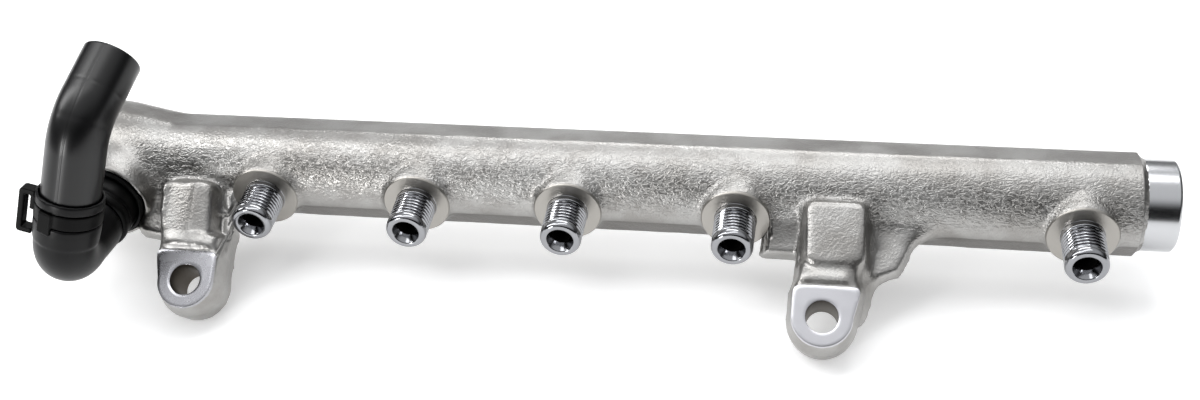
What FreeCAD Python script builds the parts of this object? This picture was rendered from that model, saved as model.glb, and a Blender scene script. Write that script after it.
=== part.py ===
import FreeCAD, Part
import math
import os

# A forged steel common rail with five screwed outlets, two bolted lugs, a sensor port and a return connector.
# Millimetres. X runs along the rail, +X out of the sensor port, and the outlets point along -Y.
# The origin is the centre of the sensor port's face, on the rail's axis, so the rail lies on the -X side.

V = FreeCAD.Vector

# Stations along the rail: the port's face to the nearest outlet, outlet to outlet, and on to the closed end
port_to_outlet = 30.2
outlet_pitches = (111.4, 56.7, 52.7, 54.5)
outlet_to_end = 78.5
lug_before_first_outlet = 19.8
lug_after_fourth_outlet = 30.0
return_to_end = 21.8

rail_length = port_to_outlet + sum(outlet_pitches) + outlet_to_end
first_outlet = outlet_to_end - rail_length
outlet_stations = [first_outlet + sum(outlet_pitches[len(outlet_pitches) - index:]) for index in range(5)]
lug_stations = (outlet_stations[0] - lug_before_first_outlet, outlet_stations[3] + lug_after_fourth_outlet)
return_station = return_to_end - rail_length

# Bar and collar
body_radius = 17.2
collar_radius = 15.2
collar_length = 11.0
collar_chamfer = 0.9
body_end_round = 3.2
top_flat_distance = 16.1
top_flat_turn = 50.0
seam_flat_distance = 16.3
main_bore_radius = 4.5

# Head at the closed end
head_radius = 21.2
head_length = 20.0
head_taper = 22.0
head_end_round = 4.0

# Sensor port
port_thread_radius = 9.0
port_depth = 15.0

# Outlets
outlet_radius = 7.0
outlet_tip = 33.8
outlet_tip_chamfer = 0.5
spot_distance = 18.4
spot_radius = 11.2
spot_chamfer = 0.5
outlet_boss_draft = 1.3
outlet_boss_flare = 3.4
outlet_boss_shoulder = 11.7
outlet_boss_foot = 6.0
cone_mouth_radius = 4.5
cone_half_angle = 30.0
outlet_bore_radius = 3.0
outlet_bore_depth = 9.0
drilling_radius = 1.5

# Lugs, drawn upright in their own plane: the bolt's axis lies on Y there, and the lug hangs down along -Z
lug_lean = 56.0
lug_drop = 48.5
bolt_hole_radius = 5.2
bolt_hole_chamfer = 0.5
lug_face_y = -19.6
lug_back_y = -3.8
lug_seam_y = -12.0
lug_face_radius = 9.8
lug_seam_radius = 11.7
lug_back_radius = 10.9
lug_flare = 1.2
lug_face_height = 10.3
lug_face_run = 9.0
lug_seam_step = 1.5
lug_root = 10.3
neck_lean_limit = 1.4
pad_top = (-14.2, -10.4)
pad_bottom = (-37.2, -31.1)
pad_width = (16.6, 18.8)
pad_shift = (-2.9, 3.5)
pad_skew = (-2.1, -0.7)
pad_face_y = -20.2
pad_draft = 1.5
pad_round = 2.6
pad_ridge = (1.1, 0.0)
pad_ridge_shift = 1.0
bead_height = 2.4
bead_radius = 2.6
bead_z = -35.0
web_front_y = -10.0
web_back_y = -4.2
web_draft = 2.2
plate_front_y = -8.5
plate_back_y = -2.5
plate_draft = 0.8
rib_front_y = -14.5
rib_draft = 0.4

# Outlines of the webs, each point as its distance from the lug's station and its height
head_web = ((-2.0, -8.2), (-31.0, -8.2), (-30.5, -25.0), (-27.0, -26.8), (-26.0, -30.0), (-22.0, -32.0),
            (-15.0, -33.2), (-10.0, -40.0), (0.0, -40.0))
outlet_web = ((0.0, -8.2), (8.0, -8.2), (8.2, -19.0), (11.4, -29.0), (11.3, -40.0), (0.0, -40.0))
left_plate = ((0.0, -8.2), (-19.6, -8.2), (-19.6, -17.0), (-20.7, -21.0), (-22.4, -24.9), (-21.2, -26.4),
              (0.0, -26.4))
swept_web = ((0.0, -8.2), (40.0, -8.2), (36.0, -17.6), (31.5, -19.4), (28.6, -22.3), (27.0, -26.6),
             (24.8, -31.0), (21.7, -32.6), (17.8, -34.6), (16.2, -40.0), (14.4, -46.5), (10.0, -50.0),
             (0.0, -50.0))
pad_rib = ((-1.0, -12.6), (1.0, -11.4), (9.0, -22.4), (7.4, -23.8))

# Return boss on the head
return_boss_radius = 15.6
return_boss_draft = 0.8
return_boss_foot = 12.7
return_face = 26.0
return_rim_chamfer = 0.8
seal_seat_radius = 14.1
seal_seat_depth = 4.4
spigot_bore_radius = 9.0
spigot_bore_end = 13.4
return_drilling_radius = 3.5

# Limiting valve inside the head
chamber_radius = 7.5
chamber_to_end = 11.0
chamber_length = 20.0
seat_length = 6.0
seat_clearance = 0.05
orifice_radius = 1.3
seat_cone_radius = 2.6
plug_thread_radius = 9.0
plug_head_radius = 12.0
plug_head_length = 4.0
plug_head_clearance = 1.0
plug_head_inset = 0.5
plug_head_chamfer = 0.6
plug_relief_depth = 3.0
plug_hex_across = 8.0
plug_hex_depth = 7.0
washer_thickness = 1.5
washer_clearance = 0.2
plug_neck = 2.0
valve_lift = 0.8
plunger_shank_radius = 3.0
plunger_flange_radius = 5.6
plunger_flange_length = 2.0
plunger_cone_length = 2.2
plunger_shank_length = 3.2
plunger_stem_radius = 2.7
plunger_stem_length = 5.0
spring_wire_radius = 0.7
spring_mean_radius = 4.3
spring_turns = 4
shim_radius = 6.4
shim_thickness = 1.2
plunger_tip_share = 0.6
running_gap = 0.3
fit_gap = 0.1
contact_gap = 0.02
overshoot = 1.0

# Return elbow and what seals and locks it
seal_radius = 13.9
seal_bore_radius = 12.5
seal_proud = 0.5
seal_edge = 0.5
collar_outer_radius = 12.3
collar_start = 23.0
collar_end = 36.4
collar_end_gap = 1.0
collar_edge = 0.8
collar_groove = 0.5
collar_groove_place = 31.2
collar_groove_width = 1.8
notch_width = 7.0
notch_length = 5.0
notch_place = 28.2
notch_depth = 0.8
notch_turn = 24.0
pipe_radius = 10.3
pipe_shoulder_radius = 11.2
pipe_shoulder = 40.0
spigot_radius = 8.8
spigot_chamfer = 0.6
spigot_tip = 14.2
spigot_groove = 1.6
spigot_groove_width = 2.4
spigot_groove_place = 17.0
elbow_bore_radius = 4.5
corner_start = 48.5
corner_radius = 9.0
corner_turn = 105.0
elbow_turn = 16.0

# Socket on the elbow, with its own axis: lengths there run from the cup's mouth, minus is down into the elbow
barrel_length = 16.5
socket_ring_radius = 11.0
socket_ring_height = 3.6
socket_ring_chamfer = 0.4
cup_radius = 10.0
cup_depth = 3.2
clip_seat_radius = 9.6
clip_seat_height = 5.6
lower_ring_radius = 10.9
lower_ring_height = 3.0
barrel_foot_radius = 10.6
well_gap = 1.0
fitting_radius = 8.0
fitting_end = -11.5
fitting_bore_radius = 4.6
fitting_bead_radius = 8.9
fitting_lip = 2.0
fitting_chamfer = 0.5
barb_radius = 6.8
barb_height = 0.7
barb_start = 1.6
barb_pitch = 4.6
barb_edge = 0.3
barb_count = 3
socket_seal_width = 2.4
socket_seal_depth = 1.5

# Retaining clip
clip_thickness = 1.3
clip_height = 4.8
loop_reach = 5.2
loop_height = 16.0
loop_share_below = 0.72
loop_corner = 1.2
loop_bar = 1.9
loop_depth = 4.5
tongue_width = 5.0
tongue_length = 7.6
tongue_turn = 250.0

# Hose
hose_radius = 9.6
hose_straight_start = 16.5
hose_bend_length = 16.0
hose_straight_end = 17.0
hose_start = -1.6
hose_bend_radius = 18.3
hose_bend_lean = 4.0


def polygon(points):
    """Closed face through points, straight from each to the next."""
    return Part.Face(Part.makePolygon(list(points) + [points[0]]))


def place(shape, origin, direction):
    """Move a shape drawn about Z so that its Z axis starts at origin and points along direction."""
    turned_shape = shape.copy()
    turn = FreeCAD.Rotation(V(0, 0, 1), direction)
    turned_shape.Placement = FreeCAD.Placement(origin, turn)
    return turned_shape


def turned(profile, origin, direction):
    """Solid of revolution: profile is radius and length pairs, lengths run from origin along direction."""
    face = polygon([V(radius, 0, length) for radius, length in profile])
    return place(face.revolve(V(0, 0, 0), V(0, 0, 1), 360), origin, direction)


def rod(radius, start, end, origin, direction):
    """Plain cylinder between two lengths along an axis."""
    return turned([(0, start), (radius, start), (radius, end), (0, end)], origin, direction)


def ring(inner, outer, start, end, origin, direction):
    """Plain tube between two lengths along an axis."""
    return turned([(inner, start), (outer, start), (outer, end), (inner, end)], origin, direction)


def joined(shapes):
    """One clean solid out of several that overlap."""
    return shapes[0].fuse(shapes[1:]).removeSplitter()


def leaned(shape):
    """Turn what is drawn upright in the lugs' plane to its place on the rail."""
    out = shape.copy()
    out.rotate(V(0, 0, 0), V(1, 0, 0), -lug_lean)
    return out


def save(shape, name):
    """Write one piece, and say what it is."""
    solids = shape.Solids
    shape = solids[0] if len(solids) == 1 else Part.makeCompound(solids)
    shape.exportStep("parts/" + name + ".step")
    box = shape.BoundBox
    print(name, len(solids), shape.isValid(), round(shape.Volume, 1),
          [round(value, 1) for value in (box.XMin, box.XMax, box.YMin, box.YMax, box.ZMin, box.ZMax)])


along = V(1, 0, 0)
outward = V(0, -1, 0)
origin = V(0, 0, 0)
left_end = -rail_length
chamber_end = left_end + chamber_to_end
seat_face = chamber_end + chamber_length


# Bar: a turned envelope, with the corner rounds as arcs, then two long flats

def bar_envelope():
    """Revolve the outline from the collar to the head, with rounded ends."""
    shoulder = -collar_length
    end_round = body_end_round
    head_round = head_end_round
    neck = left_end + head_length + head_taper
    crown = left_end + head_length
    corner = math.sin(math.radians(45))
    outline = [
        Part.LineSegment(V(0, 0, 0), V(0, 0, collar_radius - collar_chamfer)),
        Part.LineSegment(V(0, 0, collar_radius - collar_chamfer), V(-collar_chamfer, 0, collar_radius)),
        Part.LineSegment(V(-collar_chamfer, 0, collar_radius), V(shoulder, 0, collar_radius)),
        Part.LineSegment(V(shoulder, 0, collar_radius), V(shoulder, 0, body_radius - end_round)),
        Part.Arc(V(shoulder, 0, body_radius - end_round),
                 V(shoulder - end_round * (1 - corner), 0, body_radius - end_round * (1 - corner)),
                 V(shoulder - end_round, 0, body_radius)),
        Part.LineSegment(V(shoulder - end_round, 0, body_radius), V(neck, 0, body_radius)),
        Part.LineSegment(V(neck, 0, body_radius), V(crown, 0, head_radius)),
        Part.LineSegment(V(crown, 0, head_radius), V(left_end + head_round, 0, head_radius)),
        Part.Arc(V(left_end + head_round, 0, head_radius),
                 V(left_end + head_round * (1 - corner), 0, head_radius - head_round * (1 - corner)),
                 V(left_end, 0, head_radius - head_round)),
        Part.LineSegment(V(left_end, 0, head_radius - head_round), V(left_end, 0, 0)),
        Part.LineSegment(V(left_end, 0, 0), V(0, 0, 0)),
    ]
    edges = [segment.toShape() for segment in outline if segment.length() > 1e-6]
    face = Part.Face(Part.Wire(Part.__sortEdges__(edges)))
    return face.revolve(V(0, 0, 0), V(1, 0, 0), 360)


def flat_cutter(distance, elevation, grow):
    """Block beyond a plane that faces outward at an elevation above the front, in the lugs' plane."""
    size = head_radius * 3
    length = rail_length - collar_length
    block = Part.makeBox(length, size, size, V(left_end, -size / 2, distance))
    tilt = math.degrees(math.atan2(grow, head_taper))
    block.rotate(V(0, 0, 0), V(1, 0, 0), 90 - elevation)
    if grow == 0:
        return leaned(block)
    crown = left_end + head_length + head_taper
    keep = Part.makeBox(length, size, size, V(crown, -size / 2, distance))
    ramp = Part.makeBox(length, size, size, V(-length, -size / 2, 0))
    ramp.rotate(V(0, 0, 0), V(0, 1, 0), tilt)
    ramp.translate(V(crown, 0, distance))
    both = joined([keep, ramp])
    both.rotate(V(0, 0, 0), V(1, 0, 0), 90 - elevation)
    return leaned(both)


def outlet_boss(station):
    """Forged seat round an outlet, its side drafted and flared into the bar, with the screwed end on it."""
    base = spot_radius + spot_chamfer
    start = V(station, 0, 0)
    boss = turned([(0, 0), (base + outlet_boss_draft + outlet_boss_flare, outlet_boss_foot),
                   (base + outlet_boss_draft, outlet_boss_shoulder),
                   (base, spot_distance - spot_chamfer), (spot_radius, spot_distance),
                   (outlet_radius, spot_distance), (outlet_radius, outlet_tip - outlet_tip_chamfer),
                   (outlet_radius - outlet_tip_chamfer, outlet_tip), (0, outlet_tip)], start, outward)
    return boss


def outlet_drilling(station):
    """Sealing cone, its bore and the small drilling down to the main bore."""
    cone_depth = (cone_mouth_radius - outlet_bore_radius) / math.tan(math.radians(cone_half_angle))
    cone_end = outlet_tip - cone_depth
    bore_end = outlet_tip - outlet_bore_depth
    point = outlet_bore_radius - drilling_radius
    return turned([(0, 0), (drilling_radius, 0), (drilling_radius, bore_end - point),
                   (outlet_bore_radius, bore_end), (outlet_bore_radius, cone_end),
                   (cone_mouth_radius, outlet_tip), (0, outlet_tip)], V(station, 0, 0), outward)


# Lugs

def lug_outline(centre, radius, top, shift, y):
    """Wire in the lugs' plane: a round end below the bolt hole, its sides flared and leaned by shift."""
    middle = -lug_drop
    left = V(centre - radius, y, middle)
    right = V(centre + radius, y, middle)
    top_left = V(centre - radius - lug_flare + shift, y, top)
    top_right = V(centre + radius + lug_flare + shift, y, top)
    bottom = V(centre, y, middle - radius)
    edges = [Part.LineSegment(top_left, left).toShape(), Part.Arc(left, bottom, right).toShape(),
             Part.LineSegment(right, top_right).toShape(), Part.LineSegment(top_right, top_left).toShape()]
    return Part.Wire(edges)


def rounded_box(left, right, bottom, top, y, corner, skew):
    """Wire in the lugs' plane: a rectangle with round corners, its top moved sideways by skew."""
    cut = corner * (1 - math.sin(math.radians(45)))
    corners = [
        (V(left, y, top - corner), V(left + cut, y, top - cut), V(left + corner, y, top)),
        (V(right - corner, y, top), V(right - cut, y, top - cut), V(right, y, top - corner)),
        (V(right, y, bottom + corner), V(right - cut, y, bottom + cut), V(right - corner, y, bottom)),
        (V(left + corner, y, bottom), V(left + cut, y, bottom + cut), V(left, y, bottom + corner)),
    ]
    slope = skew / (top - bottom)
    corners = [[V(point.x + slope * (point.z - bottom), y, point.z) for point in three] for three in corners]
    edges = []
    for index, (start, middle, end) in enumerate(corners):
        edges.append(Part.Arc(start, middle, end).toShape())
        edges.append(Part.LineSegment(end, corners[(index + 1) % 4][0]).toShape())
    return Part.Wire(edges)


def pad_facets(left, right, index):
    """Cutter that leaves a pad's face as two facets, which meet in an upright ridge."""
    crown = pad_face_y - pad_ridge[index]
    foot = pad_bottom[index] - pad_round
    ridge = (left + right) / 2 + pad_ridge_shift
    roof = polygon([V(left - overshoot, pad_face_y, foot), V(ridge, crown, foot),
                    V(right + overshoot, pad_face_y, foot), V(right + overshoot, crown - overshoot, foot),
                    V(left - overshoot, crown - overshoot, foot)])
    return roof.extrude(V(0, 0, pad_top[index] + pad_round - foot))


def lug(index):
    """Drafted eye, its neck up into the bar, the raised pad above it and a bead between the two."""
    centre = lug_stations[index]
    shift = pad_shift[index]
    root = -lug_root
    face_top = lug_face_height - lug_drop
    rise = (root + lug_drop) / (pad_bottom[index] + lug_drop)
    neck_shift = shift * min(rise, neck_lean_limit)
    face_shift = shift * lug_face_run * 2 / lug_drop
    eye_face = lug_outline(centre, lug_face_radius, face_top, face_shift, lug_face_y)
    eye_seam = lug_outline(centre, lug_seam_radius, face_top + lug_seam_step, face_shift, lug_seam_y)
    neck_seam = lug_outline(centre, lug_seam_radius, root, neck_shift, lug_seam_y)
    neck_back = lug_outline(centre, lug_back_radius, root, neck_shift, lug_back_y)
    eye = Part.makeLoft([eye_seam, eye_face], True, True)
    neck = Part.makeLoft([neck_seam, neck_back], True, True)
    left = centre + shift - pad_width[index] / 2
    right = centre + shift + pad_width[index] / 2
    pad_seam = rounded_box(left - pad_draft, right + pad_draft, pad_bottom[index] - pad_draft,
                           pad_top[index] + pad_draft * 2, lug_seam_y, pad_round, pad_skew[index])
    crown = pad_face_y - pad_ridge[index]
    pad_face = rounded_box(left, right, pad_bottom[index], pad_top[index], crown, pad_round, pad_skew[index])
    pad = Part.makeLoft([pad_seam, pad_face], True, True)
    if pad_ridge[index] > 0:
        pad = pad.cut(pad_facets(left, right, index))
    filler = Part.makeBox(right - left + pad_skew[index], pad_round, pad_top[index] - pad_bottom[index],
                          V(left, lug_seam_y - fit_gap, pad_bottom[index]))
    bead_left = V(centre + face_shift - lug_face_radius, lug_seam_y - bead_height, bead_z)
    bead = Part.makeCylinder(bead_height + bead_radius, lug_face_radius * 2, bead_left, along)
    return [eye, neck, pad, filler, bead]


def bolt_hole(index):
    """Through hole of a lug, chamfered at both faces."""
    start = V(lug_stations[index], 0, -lug_drop)
    edge = bolt_hole_radius + bolt_hole_chamfer + overshoot
    front = -lug_face_y
    back = -lug_back_y
    return turned([(0, back - overshoot), (edge, back - overshoot),
                   (bolt_hole_radius, back + bolt_hole_chamfer),
                   (bolt_hole_radius, front - bolt_hole_chamfer), (edge, front + overshoot),
                   (0, front + overshoot)], start, outward)


def inset(points, distance):
    """Polygon with each side moved inward by a distance, each corner along the sum of its sides' normals."""
    ahead = points[1:] + points[:1]
    area = sum(start[0] * end[1] - end[0] * start[1] for start, end in zip(points, ahead))
    side = math.copysign(1, area)
    normals = []
    for (x, z), (next_x, next_z) in zip(points, ahead):
        length = math.hypot(next_x - x, next_z - z)
        normals.append((side * (z - next_z) / length, side * (next_x - x) / length))
    moved = []
    for (x, z), before, after in zip(points, normals[-1:] + normals[:-1], normals):
        reach = distance / (1 + before[0] * after[0] + before[1] * after[1])
        moved.append((x + reach * (before[0] + after[0]), z + reach * (before[1] + after[1])))
    return moved


def web(station, points, front, back, draft):
    """Flat web in the lugs' plane beside a lug, its outline drafted inward from its back to its front."""
    wide = Part.makePolygon([V(station + x, back, z) for x, z in points + points[:1]])
    narrow = inset(points, draft)
    slim = Part.makePolygon([V(station + x, front, z) for x, z in narrow + narrow[:1]])
    return Part.makeLoft([wide, slim], True, True)


def webs():
    """Webs that stiffen the lugs sideways, and the small rib beside the first lug's pad."""
    first, second = lug_stations
    return [web(first, head_web, web_front_y, web_back_y, web_draft),
            web(first, outlet_web, web_front_y, web_back_y, plate_draft),
            web(first, pad_rib, rib_front_y, web_front_y + overshoot, rib_draft),
            web(second, left_plate, plate_front_y, plate_back_y, plate_draft),
            web(second, swept_web, web_front_y, web_back_y, web_draft)]


def return_boss():
    """Forged round boss on the head that takes the return elbow."""
    base = return_boss_radius + return_boss_draft
    rim = return_boss_radius - return_rim_chamfer
    return turned([(0, 0), (base, 0), (base, return_boss_foot),
                   (return_boss_radius, return_face - return_rim_chamfer), (rim, return_face),
                   (0, return_face)], V(return_station, 0, 0), outward)


def port_bore():
    """Everything drilled along the rail's axis: sensor port, main bore, valve pocket and plug seat."""
    port_end = -port_depth
    cone_end = port_end - (port_thread_radius - main_bore_radius)
    seat_end = seat_face + seat_length
    recess = plug_head_radius + plug_head_clearance
    past = left_end - overshoot
    profile = [(0, overshoot), (port_thread_radius, overshoot), (port_thread_radius, port_end),
               (main_bore_radius, cone_end), (main_bore_radius, seat_end), (chamber_radius, seat_end),
               (chamber_radius, chamber_end), (plug_thread_radius, chamber_end - plug_neck),
               (plug_thread_radius, left_end + plug_head_length), (recess, left_end + plug_head_length),
               (recess, past), (0, past)]
    return turned(profile, origin, along)


def return_bore():
    """Stepped bore of the return boss, down to the valve's chamber."""
    return turned([(0, 0), (return_drilling_radius, 0), (return_drilling_radius, spigot_bore_end),
                   (spigot_bore_radius, spigot_bore_end), (spigot_bore_radius, return_face - seal_seat_depth),
                   (seal_seat_radius, return_face - seal_seat_depth), (seal_seat_radius, collar_end),
                   (0, collar_end)], V(return_station, 0, 0), outward)


def rail_body():
    """The forging, machined."""
    envelope = bar_envelope()
    swell = head_radius - body_radius
    envelope = envelope.cut(flat_cutter(top_flat_distance, top_flat_turn, swell))
    envelope = envelope.cut(flat_cutter(seam_flat_distance, -90.0, swell))
    upright = []
    for index in range(len(lug_stations)):
        upright = upright + lug(index)
    upright = upright + webs()
    forged = [envelope, return_boss()]
    forged = forged + [leaned(shape) for shape in upright]
    forged = forged + [outlet_boss(station) for station in outlet_stations]
    body = joined(forged)
    cuts = [port_bore(), return_bore()]
    cuts = cuts + [outlet_drilling(station) for station in outlet_stations]
    cuts = cuts + [leaned(bolt_hole(index)) for index in range(len(lug_stations))]
    body = body.cut(cuts)
    return body.removeSplitter()


# Limiting valve: the seat is pressed in, the plunger is held on it by the spring, the plug closes the pocket

def valve_seat():
    """Hardened disc with the orifice and its conical seat."""
    outer = chamber_radius - seat_clearance
    cone = seat_cone_radius - orifice_radius
    return turned([(orifice_radius, seat_length), (outer, seat_length), (outer, 0), (seat_cone_radius, 0),
                   (orifice_radius, cone)], V(seat_face, 0, 0), along)


def valve_plunger():
    """Cone, shank, spring flange and stem, turned in one, standing just off its seat line."""
    tip = orifice_radius * plunger_tip_share
    cone_base = plunger_cone_length
    flange = cone_base + plunger_shank_length
    back = flange + plunger_flange_length
    end = back + plunger_stem_length
    start = plunger_offset()
    return turned([(0, 0), (tip, 0), (plunger_shank_radius, cone_base), (plunger_shank_radius, flange),
                   (plunger_flange_radius, flange), (plunger_flange_radius, back),
                   (plunger_stem_radius, back), (plunger_stem_radius, end), (0, end)],
                  V(start, 0, 0), V(-1, 0, 0))


def plunger_offset():
    """Place of the plunger's tip, so that its cone clears the seat's edge by the fit's gap."""
    tip = orifice_radius * plunger_tip_share
    slope = (plunger_shank_radius - tip) / plunger_cone_length
    reach = (seat_cone_radius - tip) / slope
    return seat_face + reach - running_gap


def spring_ends():
    """Lengths on X between which the spring stands."""
    back = plunger_offset() - plunger_cone_length - plunger_shank_length - plunger_flange_length
    return back - contact_gap, chamber_end + shim_thickness + contact_gap


def valve_spring():
    """Round wire coil between the plunger's flange and the shim, its end turns ground by the seats."""
    right, left = spring_ends()
    height = right - left - spring_wire_radius * 2
    helix = Part.makeHelix(height / spring_turns, height, spring_mean_radius)
    profile = Part.Wire(Part.makeCircle(spring_wire_radius, V(spring_mean_radius, 0, 0), V(0, 1, 0)))
    coil = Part.Wire(helix).makePipeShell([profile], True, True)
    return place(coil, V(left + spring_wire_radius, 0, 0), along)


def spring_shim():
    """Setting disc under the spring, lying on the end of the plug."""
    return turned([(plunger_stem_radius + running_gap, 0), (shim_radius, 0), (shim_radius, shim_thickness),
                   (plunger_stem_radius + running_gap, shim_thickness)], V(chamber_end, 0, 0), along)


def valve_plug():
    """Screwed plug with a hexagon socket, its head let into the rail's end face on a washer."""
    inner = chamber_end - seat_clearance
    under_head = left_end + plug_head_length - washer_thickness
    outer_face = left_end + plug_head_inset
    neck = plug_thread_radius - fit_gap
    body = turned([(0, inner), (chamber_radius - fit_gap, inner), (neck, inner - plug_neck),
                   (neck, under_head), (plug_head_radius, under_head),
                   (plug_head_radius, outer_face + plug_head_chamfer),
                   (plug_head_radius - plug_head_chamfer, outer_face),
                   (0, outer_face)], origin, along)
    corner = plug_hex_across / math.sqrt(3)
    hexagon = [V(0, corner * math.sin(math.radians(60 * k)), corner * math.cos(math.radians(60 * k)))
               for k in range(6)]
    socket = polygon(hexagon).extrude(V(plug_hex_depth, 0, 0))
    socket.translate(V(left_end, 0, 0))
    relief_radius = plunger_stem_radius + running_gap
    relief = rod(relief_radius, inner - plug_relief_depth, inner + overshoot, origin, along)
    return body.cut([socket, relief])


def plug_washer():
    """Soft seal under the plug's head."""
    seat = left_end + plug_head_length
    return ring(plug_thread_radius + washer_clearance, plug_head_radius, seat - washer_thickness, seat,
                origin, along)


# Return elbow

return_start = V(return_station, 0, 0)
spin = math.radians(elbow_turn)
bend = math.radians(corner_turn)
inward = V(0, 1, 0)
elbow_up = V(math.sin(spin), 0, math.cos(spin))
elbow_across = V(math.cos(spin), 0, -math.sin(spin))
corner_centre = return_start + outward * corner_start + elbow_up * corner_radius
corner_end = corner_centre + (outward * math.sin(bend) - elbow_up * math.cos(bend)) * corner_radius
socket_way = elbow_up * math.sin(bend) - inward * math.cos(bend)
socket_mouth = corner_end + socket_way * barrel_length


def corner(radius):
    """Tight bend of a round bar; where the bar is thicker than the bend, it stops at the bend's own axis."""
    disc = Part.Face(Part.Wire(Part.makeCircle(radius, V(corner_radius, 0, 0), inward)))
    reach = corner_radius + radius + overshoot
    window = polygon([V(0, 0, -reach), V(reach, 0, -reach), V(reach, 0, reach), V(0, 0, reach)])
    swept = disc.common(window).Faces[0].revolve(origin, V(0, 0, 1), corner_turn)
    turn = FreeCAD.Rotation(elbow_up * -1, outward, elbow_across * -1, "XYZ")
    swept.Placement = FreeCAD.Placement(corner_centre, turn)
    return swept


def elbow_room():
    """Space that the elbow's pipe, its corner and the locking collar need beside the clip."""
    pipe = rod(pipe_shoulder_radius + running_gap, collar_end, corner_start, return_start, outward)
    collar = rod(collar_outer_radius + running_gap, collar_start, collar_end, return_start, outward)
    return joined([pipe, collar, corner(pipe_radius + running_gap)])


def return_elbow():
    """One moulding: spigot, pipe, the tight corner and the socket with its cup and clip seat."""
    groove = spigot_radius - spigot_groove
    place_groove = spigot_groove_place
    pipe_start = collar_start - collar_end_gap
    pipe = turned([(0, spigot_tip), (spigot_radius - spigot_chamfer, spigot_tip),
                   (spigot_radius, spigot_tip + spigot_chamfer), (spigot_radius, place_groove),
                   (groove, place_groove), (groove, place_groove + spigot_groove_width),
                   (spigot_radius, place_groove + spigot_groove_width), (spigot_radius, pipe_start),
                   (pipe_radius, pipe_start), (pipe_radius, collar_end),
                   (pipe_shoulder_radius, collar_end), (pipe_shoulder_radius, pipe_shoulder),
                   (pipe_radius, corner_start), (0, corner_start)], return_start, outward)
    seat_top = -socket_ring_height
    seat_bottom = seat_top - clip_seat_height
    ring_bottom = seat_bottom - lower_ring_height
    foot = -barrel_length
    barrel = turned([(0, foot), (barrel_foot_radius, foot), (lower_ring_radius, ring_bottom),
                     (lower_ring_radius, seat_bottom), (clip_seat_radius, seat_bottom),
                     (clip_seat_radius, seat_top), (socket_ring_radius, seat_top),
                     (socket_ring_radius, -socket_ring_chamfer),
                     (socket_ring_radius - socket_ring_chamfer, 0), (0, 0)],
                    socket_mouth, socket_way)
    solid = joined([pipe, barrel, corner(pipe_radius)])
    well = fitting_radius + fit_gap
    bore = rod(elbow_bore_radius, spigot_tip - overshoot, corner_start, return_start, outward)
    well_floor = fitting_end - well_gap
    cup = turned([(0, foot), (elbow_bore_radius, foot), (elbow_bore_radius, well_floor),
                  (well, well_floor), (well, -cup_depth), (cup_radius, -cup_depth),
                  (cup_radius, overshoot), (0, overshoot)], socket_mouth, socket_way)
    return solid.cut(joined([bore, cup, corner(elbow_bore_radius)]))


def locking_collar():
    """Split ring round the elbow's pipe that holds it in the boss, with a grip notch cut in its top."""
    inner = pipe_radius + fit_gap
    outer = collar_outer_radius
    root = outer - collar_groove
    groove_end = collar_groove_place + collar_groove_width
    end = collar_end - fit_gap
    body = turned([(inner, collar_start), (outer - collar_edge, collar_start),
                   (outer, collar_start + collar_edge), (outer, collar_groove_place),
                   (root, collar_groove_place + collar_groove), (root, groove_end - collar_groove),
                   (outer, groove_end), (outer, end - collar_edge), (outer - collar_edge, end), (inner, end)],
                  return_start, outward)
    notch_start = V(return_station - notch_width / 2, -notch_place - notch_length, outer - notch_depth)
    notch = Part.makeBox(notch_width, notch_length, collar_outer_radius, notch_start)
    notch.rotate(return_start, outward, notch_turn)
    return body.cut(notch)


def boss_seal():
    """Rubber ring between the boss and the locking collar, standing slightly proud of the rim."""
    start = return_face - seal_seat_depth + contact_gap
    end = return_face + seal_proud
    return turned([(seal_bore_radius, start), (seal_radius, start), (seal_radius, end - seal_edge),
                   (seal_radius - seal_edge, end), (seal_bore_radius + seal_edge, end),
                   (seal_bore_radius, end - seal_edge)], return_start, outward)


def o_ring(bore, outer, middle, start, direction):
    """Rubber ring of round section that fills a groove, squeezed to the bore it seals."""
    radius = (outer - bore) / 2
    torus = Part.makeTorus((outer + bore) / 2, radius)
    return place(torus, start + direction * middle, direction)


def spigot_seal():
    """Ring in the spigot's groove."""
    middle = spigot_groove_place + spigot_groove_width / 2
    inner = spigot_radius - spigot_groove + contact_gap
    return o_ring(inner, spigot_bore_radius - contact_gap, middle, return_start, outward)


# Hose side

def hose_fitting():
    """Spigot that the hose is pushed on: plain end for the socket, a stop bead and its barbs."""
    groove_start = fitting_end + fitting_lip
    groove_top = groove_start + socket_seal_width
    groove = fitting_radius - socket_seal_depth
    root = barb_radius - barb_height
    bead_start = fit_gap - cup_depth
    bead_end = hose_start - fit_gap
    outline = [(fitting_bore_radius, fitting_end), (fitting_radius - fitting_chamfer, fitting_end),
               (fitting_radius, fitting_end + fitting_chamfer), (fitting_radius, groove_start),
               (groove, groove_start), (groove, groove_top), (fitting_radius, groove_top),
               (fitting_radius, bead_start), (fitting_bead_radius, bead_start),
               (fitting_bead_radius, bead_end), (root, bead_end)]
    for index in range(barb_count):
        start = barb_start + barb_pitch * index
        outline = outline + [(root, start), (barb_radius, start + barb_edge),
                             (root, start + barb_pitch - barb_edge)]
    outline = outline + [(fitting_bore_radius, barb_start + barb_pitch * barb_count)]
    return turned(outline, socket_mouth, socket_way)


def socket_seal():
    """Ring in the hose fitting's groove."""
    middle = fitting_end + fitting_lip + socket_seal_width / 2
    bore = fitting_radius - socket_seal_depth + contact_gap
    return o_ring(bore, fitting_radius + fit_gap - contact_gap, middle, socket_mouth, socket_way)


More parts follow.
